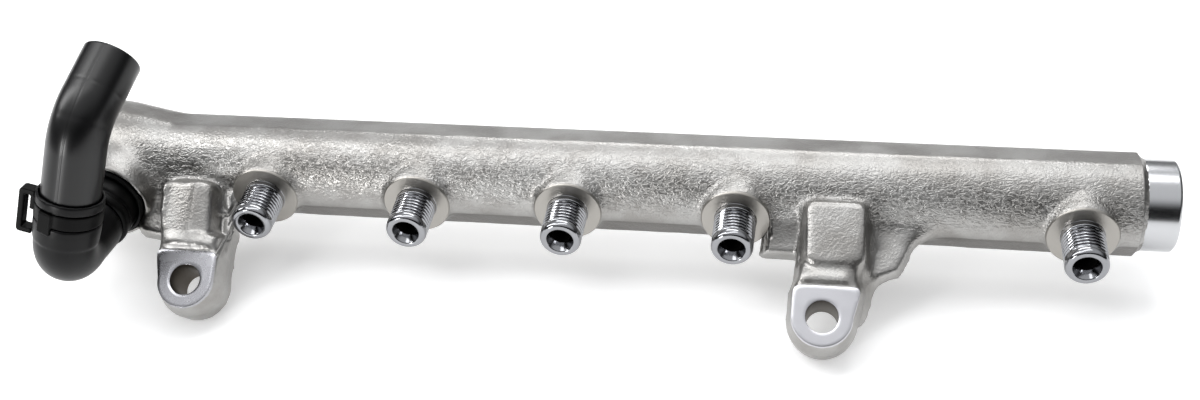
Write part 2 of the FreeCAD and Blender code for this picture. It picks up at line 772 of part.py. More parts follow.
def quick_clip():
    """Spring clip round the socket: a band with a latch loop at one side and a tongue at the front."""
    upwards = V(0, 0, 1)
    top = -socket_ring_height - running_gap
    bottom = top - clip_height
    inner = clip_seat_radius + fit_gap
    outer = inner + clip_thickness
    low = (top + bottom) / 2 - loop_height * loop_share_below
    high = low + loop_height
    side = -outer - loop_reach
    deep = V(side, -loop_depth / 2, low)
    frame = Part.makeBox(loop_reach + clip_thickness / 2, loop_depth, loop_height, deep)
    corners = [edge for edge in frame.Edges
               if edge.BoundBox.XMax < side + fit_gap and edge.BoundBox.YLength > clip_thickness]
    frame = frame.makeFillet(loop_corner, corners)
    window = Part.makeBox(loop_reach - loop_bar, loop_depth * 2, loop_height - 2 * loop_bar,
                          V(side + loop_bar, -loop_depth, low + loop_bar))
    ring_room = rod(socket_ring_radius + fit_gap, low - overshoot, high + overshoot, origin, upwards)
    frame = frame.cut([window, ring_room])
    root_corner = V(-outer - clip_thickness, -loop_depth / 2, bottom)
    root = Part.makeBox(clip_thickness * 2, loop_depth, clip_height, root_corner)
    root = root.cut(rod(inner + fit_gap, low, high, origin, upwards))
    tongue = Part.makeBox(clip_thickness, tongue_width, tongue_length,
                          V(outer - clip_thickness / 2, -tongue_width / 2, top - tongue_length))
    tongue.rotate(origin, upwards, tongue_turn)
    lower_room = rod(lower_ring_radius + fit_gap, low - overshoot, bottom, origin, upwards)
    tongue = tongue.cut(lower_room)
    band = ring(inner, outer, bottom, top, origin, upwards)
    clip = place_clip(joined([band, frame, root, tongue])).cut(elbow_room())
    return max(clip.Solids, key=lambda solid: solid.Volume)


def place_clip(clip):
    """Lay the clip, drawn about an upright axis, round the socket, with its loop on the -X side."""
    turn = FreeCAD.Rotation(elbow_across, inward, socket_way, "ZXY")
    clip.Placement = FreeCAD.Placement(socket_mouth, turn)
    return clip


def hose():
    """Short moulded hose: straight over the barbs, then one gentle bend, its bore open at the free end."""
    bore = barb_radius + fit_gap
    base = ring(bore, hose_radius, hose_start, hose_straight_start, socket_mouth, socket_way)
    start = socket_mouth + socket_way * hose_straight_start
    lean = math.radians(hose_bend_lean)
    backward = inward * math.sin(bend) + elbow_up * math.cos(bend)
    side = backward * math.cos(lean) + elbow_across * math.sin(lean)
    centre = start + side * hose_bend_radius
    section = Part.Face(Part.Wire(Part.makeCircle(hose_radius, start, socket_way)))
    section = section.cut(Part.Face(Part.Wire(Part.makeCircle(bore, start, socket_way)))).Faces[0]
    angle = hose_bend_length / hose_bend_radius
    curve = section.revolve(centre, socket_way.cross(side), math.degrees(angle))
    end = centre - side * hose_bend_radius * math.cos(angle) + socket_way * hose_bend_radius * math.sin(angle)
    way = socket_way * math.cos(angle) + side * math.sin(angle)
    free_end = ring(bore, hose_radius, 0, hose_straight_end, end, way)
    return joined([base, curve, free_end])


os.makedirs("parts", exist_ok=True)
save(rail_body(), "rail_body")
save(valve_seat(), "valve_seat")
save(valve_plunger(), "valve_plunger")
save(valve_spring(), "valve_spring")
save(spring_shim(), "spring_shim")
save(valve_plug(), "valve_plug")
save(plug_washer(), "plug_washer")
save(return_elbow(), "return_elbow")
save(locking_collar(), "locking_collar")
save(boss_seal(), "boss_seal")
save(spigot_seal(), "spigot_seal")
save(hose_fitting(), "hose_fitting")
save(socket_seal(), "socket_seal")
save(quick_clip(), "quick_clip")
save(hose(), "hose")
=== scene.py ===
import math

import bmesh
import bpy
import numpy as np
from mathutils import Matrix, Vector


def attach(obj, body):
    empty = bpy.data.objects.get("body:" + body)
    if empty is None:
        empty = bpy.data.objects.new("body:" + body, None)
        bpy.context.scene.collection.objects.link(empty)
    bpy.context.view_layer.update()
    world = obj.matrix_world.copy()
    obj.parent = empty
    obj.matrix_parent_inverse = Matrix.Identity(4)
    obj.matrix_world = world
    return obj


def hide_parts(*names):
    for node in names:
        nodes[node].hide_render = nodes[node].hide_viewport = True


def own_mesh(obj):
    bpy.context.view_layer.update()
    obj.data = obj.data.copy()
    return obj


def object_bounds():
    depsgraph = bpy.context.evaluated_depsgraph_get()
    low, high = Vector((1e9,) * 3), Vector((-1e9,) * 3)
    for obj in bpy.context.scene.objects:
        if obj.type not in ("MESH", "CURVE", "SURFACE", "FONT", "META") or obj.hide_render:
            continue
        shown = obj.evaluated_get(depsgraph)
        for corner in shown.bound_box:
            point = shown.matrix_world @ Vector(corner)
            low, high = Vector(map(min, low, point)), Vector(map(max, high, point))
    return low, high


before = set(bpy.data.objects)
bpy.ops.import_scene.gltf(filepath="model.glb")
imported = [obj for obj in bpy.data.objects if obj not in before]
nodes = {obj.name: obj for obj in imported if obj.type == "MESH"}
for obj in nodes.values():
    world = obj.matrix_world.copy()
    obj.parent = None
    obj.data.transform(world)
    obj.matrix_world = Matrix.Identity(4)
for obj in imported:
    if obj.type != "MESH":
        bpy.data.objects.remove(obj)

cad_low, cad_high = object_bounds()

# The photo's camera, worked out from the rail's own edges: it looks down on the rail from its outlets' side.
# Its frame is 1200 by 400 pixels, and its focal length is given in those pixels.
lens_data = bpy.data.cameras.new("studio_camera")
camera = bpy.data.objects.new("studio_camera", lens_data)
bpy.context.scene.collection.objects.link(camera)
bpy.context.scene.camera = camera
frame_width_px, focal_px = 1200.0, 1509.6
camera_place = (-0.1098, -0.406496, 0.319033)
lens_data.sensor_fit = "HORIZONTAL"
lens_data.sensor_width = 36.0
lens_data.lens = focal_px / frame_width_px * lens_data.sensor_width
lens_data.clip_start, lens_data.clip_end = 0.01, 20.0


def camera_axes():
    """The camera's right, up and forward directions: yaw, pitch and roll are taken in the lugs' plane, and
    that plane is then leaned about the bar."""
    yaw, pitch, roll, lean = (math.radians(angle) for angle in (-9.175, -16.887, 5.45, 56.0))
    ahead = np.array([math.sin(yaw) * math.cos(pitch), math.cos(yaw) * math.cos(pitch), -math.sin(pitch)])
    level = np.array([math.cos(yaw), -math.sin(yaw), 0.0])
    above = np.cross(level, ahead)
    right = math.cos(roll) * level + math.sin(roll) * above
    up = -math.sin(roll) * level + math.cos(roll) * above
    turn = np.array([[1, 0, 0], [0, math.cos(lean), math.sin(lean)], [0, -math.sin(lean), math.cos(lean)]])
    return turn @ right, turn @ up, turn @ ahead


cam_right, cam_up, cam_ahead = camera_axes()
facing = Matrix(np.column_stack([cam_right, cam_up, -cam_ahead]).tolist()).to_4x4()
camera.matrix_world = Matrix.Translation(camera_place) @ facing


# The studio: a white laminate table that carries a soft shadow, softboxes above, behind and at the left of
# the rail, and a low strip light at the front left that draws a bright line down every turned face.


def linear(code):
    """Linear colour of an sRGB hex value."""
    parts = [int(code[i:i + 2], 16) / 255 for i in (0, 2, 4)]
    return tuple(p / 12.92 if p <= 0.04045 else ((p + 0.055) / 1.055) ** 2.4 for p in parts) + (1.0,)


def put(tree, kind, links=None, **settings):
    """Add one shader node. Settings go in by attribute. Values, sockets and nodes go in by the name or number
    of their socket, and a node stands for its first output."""
    node = tree.nodes.new("ShaderNode" + kind)
    for name, value in settings.items():
        setattr(node, name, value)
    for socket, value in (links or {}).items():
        source = value.outputs[0] if isinstance(value, bpy.types.Node) else value
        if isinstance(source, bpy.types.NodeSocket):
            tree.links.new(source, node.inputs[socket])
        else:
            node.inputs[socket].default_value = source
    return node


def blank(name):
    """An empty node material with its output."""
    material = bpy.data.materials.new(name)
    material.use_nodes = True
    material.node_tree.nodes.clear()
    return material, material.node_tree


def close(tree, shader):
    """Join a shader to the material's output."""
    put(tree, "OutputMaterial", {"Surface": shader})


def table_white():
    """Matt white laminate, with a touch of light of its own where it is seen, so that it ends in white."""
    material, tree = blank("white_table_laminate")
    rays = put(tree, "LightPath").outputs
    seen = put(tree, "Math", {0: rays["Is Camera Ray"], 1: rays["Is Glossy Ray"]}, operation="MAXIMUM")
    seen = put(tree, "Math", {0: seen, 1: rays["Is Transmission Ray"]}, operation="MAXIMUM")
    matt = put(tree, "BsdfDiffuse", {"Color": linear("f4f4f4")})
    lift = put(tree, "Emission", {"Color": (1, 1, 1, 1), "Strength": 0.37})
    none = put(tree, "Emission", {"Color": (0, 0, 0, 1), "Strength": 0.0})
    glow = put(tree, "MixShader", {0: seen, 1: none, 2: lift})
    close(tree, put(tree, "AddShader", {0: matt, 1: glow}))
    return material


table_half = 3.0
table_top = cad_low[2] - 0.0002
sheet = bpy.data.meshes.new("table")
table_corners = [(x * table_half, y * table_half, table_top) for x, y in ((-1, -1), (1, -1), (1, 1), (-1, 1))]
sheet.from_pydata(table_corners, [], [(0, 1, 2, 3)])
table = bpy.data.objects.new("table", sheet)
bpy.context.scene.collection.objects.link(table)
sheet.materials.append(table_white())

# The room that the steel mirrors: a bright ceiling, mid-grey walls, a dark side behind the camera, and dark
# curtains at both ends of the rail.
room = bpy.data.worlds.new("pale_studio")
bpy.context.scene.world = room
room.use_nodes = True
sky = room.node_tree
sky.nodes.clear()
ways = put(sky, "SeparateXYZ", {0: put(sky, "TexCoord").outputs["Generated"]}).outputs
aside = put(sky, "Math", {0: ways["X"]}, operation="ABSOLUTE")
shades = []
for way, start, end, least, most in (
        (ways["Z"], 0.10, 0.85, 0.24, 0.95), (ways["Y"], -0.05, -0.75, 0.0, 1.0),
        (ways["Z"], 0.86, 0.45, 0.0, 1.0), (ways["Z"], -0.60, -0.20, 0.0, 1.0),
        (ways["X"], -0.7, 0.3, 0.70, 1.0), (aside, 0.40, 0.70, 0.0, 1.0), (ways["Z"], 0.60, 0.20, 0.0, 0.85)):
    shades.append(put(sky, "MapRange", {"Value": way, "From Min": start, "From Max": end, "To Min": least,
                                        "To Max": most}, interpolation_type="SMOOTHSTEP"))
ceiling, in_front, below_lamps, above_floor, to_right, at_ends, low_down = shades
dark_side = in_front
for shade in (below_lamps, above_floor, to_right):
    dark_side = put(sky, "Math", {0: dark_side, 1: shade}, operation="MULTIPLY")
dark_ends = put(sky, "Math", {0: at_ends, 1: low_down}, operation="MULTIPLY")
dark = put(sky, "Math", {0: dark_side, 1: dark_ends}, operation="MAXIMUM")
bright = put(sky, "Math", {0: 1.0, 1: dark}, operation="SUBTRACT")
level = put(sky, "Math", {0: ceiling, 1: bright}, operation="MULTIPLY")
walls = put(sky, "Background", {"Color": linear("f7f8fa"), "Strength": level})
put(sky, "OutputWorld", {"Surface": walls})


def softbox(name, place, aim, width, height, watts):
    """A rectangular softbox at a place, turned to face an aim point: sizes in metres, power in watts."""
    lamp = bpy.data.lights.new(name, "AREA")
    lamp.shape = "RECTANGLE"
    lamp.size, lamp.size_y = width, height
    lamp.energy = watts
    holder = bpy.data.objects.new(name, lamp)
    bpy.context.scene.collection.objects.link(holder)
    way = Vector(aim) - Vector(place)
    holder.matrix_world = Matrix.Translation(place) @ way.to_track_quat("-Z", "Y").to_matrix().to_4x4()


bpy.context.scene.view_settings.view_transform = "Standard"
rail_middle = (-0.19, 0.0, 0.0)
softbox("softbox_top", (-0.22, 0.04, 0.85), rail_middle, 1.1, 0.30, 3.0)
softbox("softbox_back", (-0.20, 0.75, 0.60), rail_middle, 0.7, 0.25, 2.8)
softbox("softbox_front_left", (-0.95, 0.0, 0.70), rail_middle, 0.25, 0.8, 4.2)
softbox("strip_front_left", (-0.74, -0.86, 0.13), rail_middle, 0.12, 0.30, 3.4)

# The forging: bar, head, bosses, pads, webs and lugs in one piece of micro-alloyed steel, hot forged between
# two dies, trimmed along the seam, shot-blasted and left bare. Its skin is the solid's own surface with the
# round corners of a worn die, and it is wrinkled on the front, where the bar stretched most.
# Sizes from here on are in millimetres.
mm = 0.001
lug_lean = math.radians(56.0)
outlet_stations = np.array([-305.5, -251.0, -198.3, -141.6, -30.2])
lug_stations = np.array([-325.3, -111.6])
lug_drop = 48.5
return_station = -362.2
head_end = -383.0
spot_plane, spot_radius = -18.4, 11.2
collar_length = 11.0
main_bore, return_bore, outlet_bore, outlet_radius = 9.0, 9.0, 3.0, 7.0
weld_distance, touch = 0.002, 0.01
skin_grid = 0.85


def upright(points):
    """The same points in the lugs' own plane, where the bolts lie along Y and the lugs hang down along Z."""
    y, z = points[:, 1], points[:, 2]
    out = points.copy()
    out[:, 1] = y * math.cos(lug_lean) - z * math.sin(lug_lean)
    out[:, 2] = y * math.sin(lug_lean) + z * math.cos(lug_lean)
    return out


def leaned(points):
    """The inverse of upright."""
    y, z = points[..., 1], points[..., 2]
    out = points.copy()
    out[..., 1] = y * math.cos(lug_lean) + z * math.sin(lug_lean)
    out[..., 2] = -y * math.sin(lug_lean) + z * math.cos(lug_lean)
    return out


def mesh_points(mesh):
    """Vertex positions of a mesh as one array, in millimetres."""
    flat = np.empty(len(mesh.vertices) * 3)
    mesh.vertices.foreach_get("co", flat)
    return flat.reshape(-1, 3) / mm


def set_points(mesh, points):
    """Write vertex positions, given in millimetres, back into a mesh."""
    mesh.vertices.foreach_set("co", (points * mm).ravel())
    mesh.update()


def shade_smooth(mesh):
    """Let the light run smoothly over every face of a mesh."""
    mesh.polygons.foreach_set("use_smooth", np.ones(len(mesh.polygons), dtype=bool))


def placed(name, mesh):
    """A new object at the origin that shows a mesh."""
    piece = bpy.data.objects.new(name, mesh)
    bpy.context.scene.collection.objects.link(piece)
    return piece


def dress(piece, finishes, node_name):
    """Give a piece its finishes, let it ride on the rail, and hide the CAD node that it stands for."""
    for finish in finishes:
        piece.data.materials.append(finish)
    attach(piece, "rail")
    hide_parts(node_name)


def welded(node):
    """A CAD node's mesh, open for work, with the points that its faces share made one."""
    work = bmesh.new()
    work.from_mesh(node.data)
    bmesh.ops.remove_doubles(work, verts=work.verts, dist=weld_distance * mm)
    return work


def closed_mesh(work, name):
    """A new mesh from one that was open for work."""
    mesh = bpy.data.meshes.new(name)
    work.to_mesh(mesh)
    work.free()
    return mesh


def outer_shell(node):
    """The forging's outside as one closed mesh: its bored walls are taken away and their mouths capped."""
    work = welded(node)
    mesh = bpy.data.meshes.new("rail_skin")
    work.to_mesh(mesh)
    corners = np.empty(len(mesh.loops), dtype=np.int64)
    mesh.loops.foreach_get("vertex_index", corners)
    corner_points = mesh_points(mesh)[corners.reshape(-1, 3)]
    x, y, z = corner_points[..., 0], corner_points[..., 1], corner_points[..., 2]
    from_axis = np.hypot(y, z).max(axis=1)
    inside = from_axis < main_bore + touch
    for station in outlet_stations:
        from_outlet = np.hypot(x - station, z).max(axis=1)
        inside |= (from_outlet < outlet_bore + touch) & (y.max(axis=1) < 0)
        inside |= (from_outlet < outlet_radius + touch) & (y.max(axis=1) < spot_plane + touch)
    from_return = np.hypot(x - return_station, z).max(axis=1)
    inside |= (from_return < return_bore + touch) & (y.max(axis=1) < 0)
    work.faces.ensure_lookup_table()
    bmesh.ops.delete(work, geom=[work.faces[i] for i in np.flatnonzero(inside)], context="FACES")
    open_edges = [edge for edge in work.edges if edge.is_boundary]
    bmesh.ops.holes_fill(work, edges=open_edges, sides=0)
    bmesh.ops.triangulate(work, faces=[face for face in work.faces if len(face.verts) > 4])
    work.to_mesh(mesh)
    work.free()
    return mesh


def even_grid(name, mesh, size):
    """A piece that shows a closed mesh made anew from an even grid of cubes, with no modifier left on it."""
    piece = placed(name, mesh)
    grid = piece.modifiers.new("even_grid", "REMESH")
    grid.mode = "VOXEL"
    grid.voxel_size = size * mm
    made = bpy.data.meshes.new_from_object(piece.evaluated_get(bpy.context.evaluated_depsgraph_get()))
    piece.modifiers.clear()
    piece.data = made
    made.materials.clear()
    return piece


def smoothed(mesh, points, weight, rounds):
    """Move each point by half of its weight towards the mean of its neighbours, some number of times."""
    ends = np.empty(len(mesh.edges) * 2, dtype=np.int64)
    mesh.edges.foreach_get("vertices", ends)
    ends = ends.reshape(-1, 2)
    start = np.concatenate([ends[:, 0], ends[:, 1]])
    stop = np.concatenate([ends[:, 1], ends[:, 0]])
    count = len(points)
    degree = np.maximum(np.bincount(start, minlength=count), 1)[:, None]
    for _ in range(rounds):
        sums = [np.bincount(start, weights=points[stop, axis], minlength=count) for axis in range(3)]
        points = points + 0.5 * weight[:, None] * (np.stack(sums, axis=1) / degree - points)
    return points


lattice_size = 32
rng = np.random.default_rng(41)
lattice = rng.random((lattice_size, lattice_size, lattice_size))


def cloud(points, size):
    """Smooth noise from -1 to 1 with lumps of a size in millimetres: a random lattice, its corners blended by
    three times the square less twice the cube of the way between them."""
    place = points / size
    cell = np.floor(place).astype(int)
    part = place - cell
    ease = part * part * (3 - 2 * part)
    total = np.zeros(len(points))
    for corner in range(8):
        step = np.array([corner & 1, corner >> 1 & 1, corner >> 2 & 1])
        share = np.prod(np.where(step, ease, 1 - ease), axis=1)
        i, j, k = ((cell + step) % lattice_size).T
        total += share * lattice[i, j, k]
    return total * 2 - 1


def ramp(value, start, end):
    """0 before start, 1 after end, eased between."""
    t = np.clip((value - start) / (end - start), 0, 1)
    return t * t * (3 - 2 * t)


def grown_fillets(mesh, points):
    """Round the grid's steps, the webs' roots, the return boss's foot, the second lug's knuckle and necks."""
    # The first rounds do least at the sharp right end and round the outlets' bosses.
    from_boss = np.min([np.hypot(points[:, 0] - at, points[:, 2]) for at in outlet_stations], axis=0)
    boss_rim = (1 - ramp(np.abs(from_boss - spot_radius), 1.5, 4.0)) * (points[:, 1] < -7.0)
    kept_sharp = np.maximum(0.75 * ramp(points[:, 0], -22.0, -17.0), 0.55 * boss_rim)
    points = smoothed(mesh, points, 1 - kept_sharp, 6)
    x, y, z = upright(points).T
    beside = np.minimum(np.abs(x - lug_stations[0] + 8), np.abs(x - lug_stations[1] - 8))
    root = (1 - ramp(beside, 34, 40)) * ramp(y, -18.0, -15.0)
    root = root * ramp(z, -24.0, -19.0) * (1 - ramp(z, -10.0, -6.0))
    from_return = np.hypot(points[:, 0] - return_station, points[:, 2])
    dome = (1 - ramp(from_return, 19.0, 25.0)) * ramp(points[:, 1], -21.0, -17.0)
    knuckle = np.exp(-((x - lug_stations[1] - 10.0) / 3.5) ** 2 - ((z + 31.0) / 5.0) ** 2)
    knuckle = knuckle * ramp(-y, 6.0, 8.0)
    loose = np.maximum(np.maximum(root, knuckle), dome * (points[:, 0] > head_end))
    points = smoothed(mesh, points, loose, 36)
    x, y, z = upright(points).T
    neck = ramp(z, -40.0, -38.5) * (1 - ramp(z, -32.0, -30.5))
    return smoothed(mesh, points, neck, 20)


def beads_and_flats(mesh, points):
    """Swell a bead above each lug's face, fold the first pad back along a ridge right of its middle, and run
    the plate left of the second lug flat up into the bar's front."""
    bead_height, bead_drop, bead_spread, fold_slope = 0.7, 35.6, 2.4, 0.30
    hung = upright(points)
    # The three are views of hung, so that hung changes with y.
    x, y, z = hung.T
    beside = np.minimum(np.abs(x - lug_stations[0]), np.abs(x - lug_stations[1]))
    bead = np.exp(-((z + bead_drop) / bead_spread) ** 2)
    y -= bead_height * bead * (1 - ramp(beside, 6.5, 10.0)) * ramp(-y, 9.0, 11.0)
    pad = ramp(z, -33.0, -31.0) * (1 - ramp(z, -12.0, -9.0)) * ramp(-y, 11.0, 13.0)
    y += fold_slope * pad * np.clip(x - lug_stations[0] + 1.0, 0, 7) * (x < lug_stations[0] + 12)
    plate = ramp(x, -132.5, -131.0) * (1 - ramp(x, -121.0, -119.0))
    plate = plate * ramp(z, -26.0, -25.0) * (1 - ramp(z, -7.0, -5.0))
    flat_front = -12.9 + 3.2 * ramp(-z, 9.0, 26.0)
    hung[:, 1] = np.where((y < 0) & (y > flat_front), y + plate * (flat_front - y), y)
    return smoothed(mesh, leaned(hung), plate, 6)


def squared_and_dented(points):
    """Cut the right end off square, its corner only just broken, and dent the front's unmachined skin."""
    dent_depth = 0.05
    points[:, 0] = np.interp(points[:, 0], [-400.0, -18.0, -16.4, -11.9, 0.0],
                             [-400.0, -18.0, -12.7, -11.9, 0.0])
    x, y, z = points.T
    radius = np.hypot(y, z)
    outwards = np.stack([np.zeros(len(x)), y, z], axis=1) / np.maximum(radius, 1)[:, None]
    forged = (1 - ramp(x, -17, -13)) * ramp(y, -18.0, -15.5)
    dents = dent_depth * cloud(points, 7.0) + dent_depth * cloud(points + 50, 3.2)
    dents = dents * ramp(-y, -6.0, 2.0)
    return points + outwards * (dents * forged)[:, None]


def cut_back(points):
    """Sink the skin under the turned collar, the spot faces and the lugs' machined faces, which are pieces of
    their own, and open it at the sensor port and the bolt holes."""
    collar_core, port_core, port_depth, end_gap = 14.8, 10.2, 44.0, 0.4
    spot_margin, spot_gap = 0.8, 0.35
    eye_front, eye_back, bolt_room = -19.25, -3.95, 5.75
    radius = np.hypot(points[:, 1], points[:, 2])
    collar = points[:, 0] > -collar_length + 0.5
    shrink = np.where(collar, np.minimum(collar_core / np.maximum(radius, 1e-6), 1), 1)
    port = collar & (radius < port_core)
    points[:, 1] *= shrink
    points[:, 2] *= shrink
    points[:, 0] = np.where(port, points[:, 0] - port_depth, np.minimum(points[:, 0], -end_gap))
    for station in outlet_stations:
        near = np.hypot(points[:, 0] - station, points[:, 2]) < spot_radius + spot_margin
        points[:, 1] = np.where(near, np.maximum(points[:, 1], spot_plane + spot_gap), points[:, 1])
    hung = upright(points)
    for station in lug_stations:
        across, down = hung[:, 0] - station, hung[:, 2] + lug_drop
        eye = (np.abs(across) < 14) & (down < 11.4) & (down > -14)
        hung[:, 1] = np.where(eye, np.clip(hung[:, 1], eye_front, eye_back), hung[:, 1])
        distance = np.maximum(np.hypot(across, down), 1e-6)
        widen = np.where(distance < bolt_room, bolt_room / distance, 1)
        hung[:, 0] = station + across * widen
        hung[:, 2] = down * widen - lug_drop
    return leaned(hung)


def forged_skin(node):
    """The shell on an even grid, its corners rounded, its front dented, and machined places cut back."""
    piece = even_grid("rail_skin", outer_shell(node), skin_grid)
    mesh = piece.data
    points = grown_fillets(mesh, mesh_points(mesh))
    points = squared_and_dented(beads_and_flats(mesh, points))
    set_points(mesh, cut_back(points))
    shade_smooth(mesh)
    return piece


def skin_zones(tree, place):
    """How wrinkled the skin is, and how far painted shade darkens the trimmed seam's flat under the bar. Each
    is a product of three eased steps, by the turn round the bar's axis from straight ahead and by the
    distance from the axis in metres."""
    axes = put(tree, "SeparateXYZ", {0: place}).outputs
    ahead = put(tree, "Math", {0: axes["Y"], 1: -1.0}, operation="MULTIPLY")
    turn = put(tree, "Math", {0: axes["Z"], 1: ahead}, operation="ARCTAN2")
    off_axis = put(tree, "VectorMath", {0: place, 1: (0.0, 1.0, 1.0)}, operation="MULTIPLY")
    reach = put(tree, "VectorMath", {0: off_axis}, operation="LENGTH").outputs["Value"]
    wrinkle_steps = ((turn, math.radians(-14), math.radians(16), 0.15, 1.0),
                     (turn, math.radians(84), math.radians(40), 0.10, 1.0),
                     (reach, 0.0205, 0.0190, 0.15, 1.0))
    # Painted shade: the lower front and the seam's flat, where the bar mirrors the shadowed table under it.
    painted_shade_steps = ((turn, math.radians(-14), math.radians(-18), 0.0, 1.0),
                  (turn, math.radians(-60), math.radians(-52), 0.0, 1.0),
                  (reach, 0.0196, 0.0184, 0.0, 0.75))
    zones = []
    for steps in (wrinkle_steps, painted_shade_steps):
        zone = 1.0
        for value, start, end, least, most in steps:
            step = put(tree, "MapRange", {"Value": value, "From Min": start, "From Max": end, "To Min": least,
                                          "To Max": most}, interpolation_type="SMOOTHSTEP")
            zone = put(tree, "Math", {0: zone, 1: step}, operation="MULTIPLY")
        zones.append(zone)
    return zones


def forging_steel():
    """Micro-alloyed steel as it comes from the die and the shot blast: a neutral grey that glitters where
    the front is wrinkled and lies flatter above and below. Painted shade darkens the trimmed seam's flat
    under the bar, for the shadowed table that it mirrors, and the wrinkles' deepest bottoms. Its wrinkles are
    1.4 mm apart and drawn out along the bar, as on the real one. The blast's own grain of 0.4 mm is too fine
    to show at the photo's size, so it is drawn at 0.9 mm, as coarse as it needs to show."""
    # How many lumps of each pattern lie along a metre.
    wrinkle_count, swell_count, grain_count, patch_count = 720, 210, 1150, 55
    material, tree = blank("forged_steel_shot_blasted")
    place = put(tree, "TexCoord").outputs["Object"]
    wrinkled, seam_painted_shade = skin_zones(tree, place)
    stretched = put(tree, "VectorMath", {0: place, 1: (0.62, 1.0, 1.25)}, operation="MULTIPLY")
    lumps = put(tree, "TexNoise", {"Vector": stretched, "Scale": wrinkle_count, "Detail": 2.0,
                                   "Roughness": 0.45, "Distortion": 0.7})
    swells = put(tree, "TexNoise", {"Vector": place, "Scale": swell_count, "Detail": 2.0})
    grain = put(tree, "TexNoise", {"Vector": place, "Scale": grain_count, "Detail": 2.5, "Roughness": 0.6})
    patches = put(tree, "TexNoise", {"Vector": place, "Scale": patch_count, "Detail": 4.0, "Roughness": 0.6})
    # A wrinkle's bottom is where the lumps cross their middle value.
    off_middle = put(tree, "Math", {0: lumps, 1: 0.5}, operation="SUBTRACT")
    off_middle = put(tree, "Math", {0: off_middle}, operation="ABSOLUTE")
    folds = put(tree, "MapRange", {"Value": off_middle, "From Max": 0.16, "To Max": 0.75},
                interpolation_type="SMOOTHSTEP")
    crumpled = put(tree, "Math", {0: swells, 1: 1.1, 2: folds}, operation="MULTIPLY_ADD")
    height = put(tree, "Math", {0: crumpled, 1: wrinkled, 2: grain}, operation="MULTIPLY_ADD")
    relief = put(tree, "Bump", {"Height": height, "Strength": 0.85, "Distance": 0.18 * mm})
    # The deepest bottoms are darkened brown as painted shade in the creases, more so where the skin swells.
    bottoms = put(tree, "MapRange", {"Value": folds, "From Min": 0.015, "From Max": 0.10, "To Min": 1.0,
                                     "To Max": 0.0}, interpolation_type="SMOOTHSTEP")
    more_where_swollen = put(tree, "MapRange", {"Value": swells, "From Min": 0.44, "From Max": 0.62, "To Max": 0.55},
                interpolation_type="SMOOTHSTEP")
    painted_crease_shade = put(tree, "Math", {0: bottoms, 1: wrinkled}, operation="MULTIPLY")
    painted_crease_shade = put(tree, "Math", {0: painted_crease_shade, 1: more_where_swollen}, operation="MULTIPLY")
    mottled = put(tree, "MapRange", {"Value": patches, "From Min": 0.35, "From Max": 0.65},
                  interpolation_type="SMOOTHSTEP")
    tone = linear("93918e")
    # Over the base grey: random mottling, then painted shade, a darker grey on the seam's flat and a brown in
    # the wrinkles' deepest bottoms.
    for share, over in ((mottled, "a8a7a5"), (seam_painted_shade, "5c5955"), (painted_crease_shade, "4c4742")):
        tone = put(tree, "Mix", {"Factor": share, "A": tone, "B": linear(over)}, data_type="RGBA").outputs[2]
    rough = put(tree, "MapRange", {"Value": patches, "From Min": 0.3, "From Max": 0.7, "To Min": 0.30,
                                   "To Max": 0.40}, interpolation_type="SMOOTHSTEP")
    close(tree, put(tree, "BsdfPrincipled", {"Base Color": tone, "Metallic": 1.0, "Roughness": rough,
                                             "Normal": relief}))
    return material


dress(forged_skin(nodes["rail_body"]), [forging_steel()], "rail_body")

# Five outlets, turned on the forging's own bosses in one setting each: a flat spot face, an M14 x 1.5 thread
# with a plain neck, a rounded tip, and a polished cone of 60 degrees that seals on the pipe's ball end.
outlet_tip, outlet_steps = 33.8, 80
thread_pitch, thread_height, thread_fade = 1.5, 0.80, 0.9
thread_start, thread_end, thread_radius = 20.0, 31.3, 6.98
spot_rows, bore_rows = 7, 5


def surface(name, points, closed_rows=False, poles=False, sharp=35.0, row_finish=None):
    """A mesh of quads over a grid of points in millimetres. The columns close on themselves, and so do the
    rows if asked. Poles close both ends with a fan to the middle of the row. Each row can have a finish."""
    rows, columns = points.shape[:2]
    index = np.arange(rows * columns).reshape(rows, columns)
    beside = np.roll(index, -1, axis=1)
    if closed_rows:
        above, above_beside = np.roll(index, -1, axis=0), np.roll(beside, -1, axis=0)
    else:
        above, above_beside = index[1:], beside[1:]
        index, beside = index[:-1], beside[:-1]
    quads = np.stack([index, beside, above_beside, above], axis=-1).reshape(-1, 4)
    verts = points.reshape(-1, 3)
    faces = quads.tolist()
    for row in (0, rows - 1) if poles else ():
        first = row * columns + np.arange(columns)
        middle = np.full(columns, len(verts))
        verts = np.concatenate([verts, points[row].mean(axis=0)[None]])
        faces += np.stack([middle, np.roll(first, -1), first], axis=-1).tolist()
    mesh = bpy.data.meshes.new(name)
    mesh.from_pydata((verts * mm).tolist(), [], faces)
    work = bmesh.new()
    work.from_mesh(mesh)
    bmesh.ops.recalc_face_normals(work, faces=work.faces)
    work.to_mesh(mesh)
    work.free()
    shade_smooth(mesh)
    mesh.set_sharp_from_angle(angle=math.radians(sharp))
    if row_finish is not None:
        finish = np.repeat(np.asarray(row_finish)[:len(quads) // columns], columns)
        ends = (row_finish[0], row_finish[-1]) if poles else ()
        finish = np.concatenate([finish] + [np.full(columns, end) for end in ends])
        mesh.polygons.foreach_set("material_index", finish.astype(np.int32))
    return mesh


def turned(profile, place, direction, steps):
    """Points of a turned shape: each profile pair of radius and length goes round the axis through place, by
    the cosine and the sine of the angle along two directions square to the axis."""
    profile = np.array(profile)
    angle = np.linspace(0, 2 * math.pi, steps, endpoint=False)
    way = np.array(direction, dtype=float)
    side = np.cross(way, (0.0, 0.0, 1.0) if abs(way[2]) < 0.9 else (1.0, 0.0, 0.0))
    side /= np.linalg.norm(side)
    other = np.cross(way, side)
    spokes = np.cos(angle)[:, None] * side + np.sin(angle)[:, None] * other
    return np.array(place) + profile[:, 0, None, None] * spokes + profile[:, 1, None, None] * way


